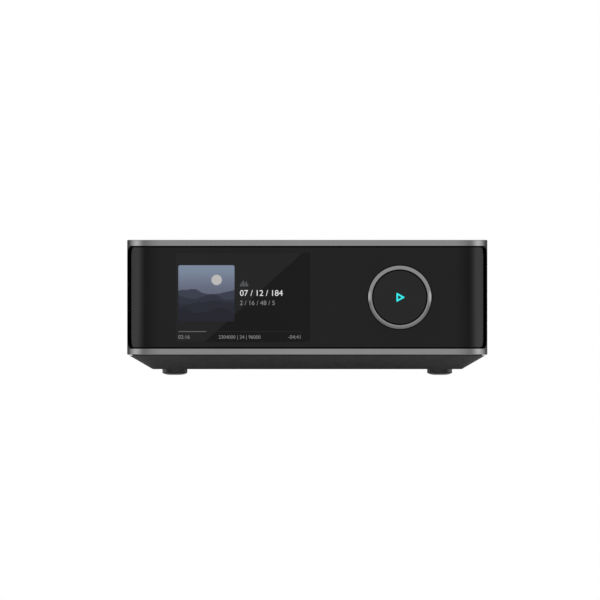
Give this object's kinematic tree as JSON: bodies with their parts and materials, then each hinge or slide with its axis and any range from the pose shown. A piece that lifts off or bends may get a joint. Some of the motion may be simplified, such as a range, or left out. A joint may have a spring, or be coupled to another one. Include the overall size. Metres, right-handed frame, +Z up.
{
  "type": "streaming amplifier",
  "caption": "Compact network amplifier: aluminium case, wrap-round gloss front with colour display, turning volume ring with push cap, rear loudspeaker posts and sockets.",
  "frame": {"origin": "on the surface that the feet stand on, below the middle of the whole object", "axes": "+X to the right seen from the front, +Y from the front to the back, +Z up"},
  "size_m": [0.2, 0.2258, 0.075],
  "materials": {
    "case_aluminium": "fine bead-blasted and anodised, satin",
    "base_black": "fine satin paint",
    "foot_rubber": "moulded, satin",
    "black_screw": "black oxide",
    "gloss_black": "polished",
    "liner_black": "moulded, matt",
    "display_glass": "polished cover glass",
    "display_module": "lit display face",
    "plated_steel": "nickel plated",
    "ring_aluminium": "turned, fine concentric grain",
    "cap_black": "polished",
    "lit_icon": "clear light guide, lit cyan",
    "board_green": "solder mask over glass laminate",
    "flat_cable": "polyester film",
    "brass_spacer": "turned",
    "insulating_film": "film",
    "core_grey": "sintered ferrite",
    "capacitor_black": "sleeved can",
    "fuse_glass": "glass tube with plated caps",
    "heatsink_black": "black anodised",
    "film_capacitor": "dipped",
    "panel_black": "fine textured paint",
    "gold_plate": "gold plated",
    "socket_white": "moulded",
    "socket_black": "moulded",
    "socket_grey": "moulded",
    "post_red": "moulded, clear coat",
    "post_black": "moulded, clear coat"
  },
  "bodies": {
    "chassis": {"shell": "case_aluminium", "base_pan": "base_black", "feet": "foot_rubber", "case_screws": "black_screw", "front_lens": "gloss_black", "front_bezel": "liner_black", "display_glass": "display_glass", "lcd_module": "display_module", "display_bracket": "plated_steel", "front_screws": "plated_steel", "carrier_clip": "plated_steel", "encoder_body": "liner_black", "control_board": "board_green", "tact_switches": "liner_black", "antennas": "board_green", "display_flex": "flat_cable", "power_board": "board_green", "amp_board": "board_green", "main_board": "board_green", "standoffs": "brass_spacer", "board_screws": "plated_steel", "insulating_sheet": "insulating_film", "transformer": "core_grey", "bulk_capacitors": "capacitor_black", "filter_choke": "core_grey", "mains_fuse": "fuse_glass", "amp_chips": "liner_black", "amp_heatsink": "heatsink_black", "output_inductors": "core_grey", "film_capacitors": "film_capacitor", "shield_cans": "plated_steel", "wireless_module": "plated_steel", "signal_capacitors": "capacitor_black", "rear_panel": "panel_black", "rca_jacks": "gold_plate", "rca_centres": "socket_white", "optical_socket": "socket_black", "hdmi_socket": "plated_steel", "usb_socket": "plated_steel", "port_tongues": "socket_black", "ethernet_socket": "socket_black", "trigger_jack": "socket_black", "mains_inlet": "socket_black", "inlet_pins": "gold_plate", "post_insulators": "socket_black", "post_cores": "gold_plate"},
    "volume": {"volume_ring": "ring_aluminium", "ring_carrier": "liner_black"},
    "play_cap": {"play_button": "cap_black", "play_light_guide": "lit_icon"},
    "setup_key": {"setup_button": "socket_grey"},
    "optical_door": {"optical_flap": "socket_grey"},
    "washer_1": {"clamp_washer_1": "gold_plate"},
    "cap_1": {"post_cap_1": "post_black"},
    "washer_2": {"clamp_washer_2": "gold_plate"},
    "cap_2": {"post_cap_2": "post_red"},
    "washer_3": {"clamp_washer_3": "gold_plate"},
    "cap_3": {"post_cap_3": "post_black"},
    "washer_4": {"clamp_washer_4": "gold_plate"},
    "cap_4": {"post_cap_4": "post_red"}
  },
  "joints": [
    {"name": "volume_turn", "type": "hinge", "parent": "chassis", "child": "volume", "pos_m": [0.0514, -0.105, 0.0431], "axis": [0, 1, 0], "continuous": true},
    {"name": "play_press", "type": "slide", "parent": "chassis", "child": "play_cap", "axis": [0, 1, 0], "range_m": [0, 0.0005], "stiffness_N_per_m": 2000, "springref_m": -0.0005},
    {"name": "setup_press", "type": "slide", "parent": "chassis", "child": "setup_key", "axis": [0, -1, 0], "range_m": [0, 0.0005], "stiffness_N_per_m": 1500, "springref_m": -0.0005},
    {"name": "optical_flap_swing", "type": "hinge", "parent": "chassis", "child": "optical_door", "pos_m": [-0.01521, 0.09435, 0.05975], "axis": [-1, 0, 0], "range_deg": [0, 85], "stiffness_Nm_per_rad": 0.0005, "springref_deg": -17.19},
    {"name": "post_travel_1", "type": "slide", "parent": "chassis", "child": "washer_1", "axis": [0, 1, 0], "range_m": [0, 0.004]},
    {"name": "post_turn_1", "type": "hinge", "parent": "washer_1", "child": "cap_1", "pos_m": [-0.065, 0.105, 0.03], "axis": [0, 1, 0], "range_deg": [0, 1440]},
    {"name": "post_travel_2", "type": "slide", "parent": "chassis", "child": "washer_2", "axis": [0, 1, 0], "range_m": [0, 0.004]},
    {"name": "post_turn_2", "type": "hinge", "parent": "washer_2", "child": "cap_2", "pos_m": [-0.046, 0.105, 0.03], "axis": [0, 1, 0], "range_deg": [0, 1440]},
    {"name": "post_travel_3", "type": "slide", "parent": "chassis", "child": "washer_3", "axis": [0, 1, 0], "range_m": [0, 0.004]},
    {"name": "post_turn_3", "type": "hinge", "parent": "washer_3", "child": "cap_3", "pos_m": [-0.027, 0.105, 0.03], "axis": [0, 1, 0], "range_deg": [0, 1440]},
    {"name": "post_travel_4", "type": "slide", "parent": "chassis", "child": "washer_4", "axis": [0, 1, 0], "range_m": [0, 0.004]},
    {"name": "post_turn_4", "type": "hinge", "parent": "washer_4", "child": "cap_4", "pos_m": [-0.008, 0.105, 0.03], "axis": [0, 1, 0], "range_deg": [0, 1440]}
  ],
  "couplings": [
    {"joint": "post_turn_1", "follows": "post_travel_1", "rad_per_m": 6283.2},
    {"joint": "post_turn_2", "follows": "post_travel_2", "rad_per_m": 6283.2},
    {"joint": "post_turn_3", "follows": "post_travel_3", "rad_per_m": 6283.2},
    {"joint": "post_turn_4", "follows": "post_travel_4", "rad_per_m": 6283.2}
  ]
}
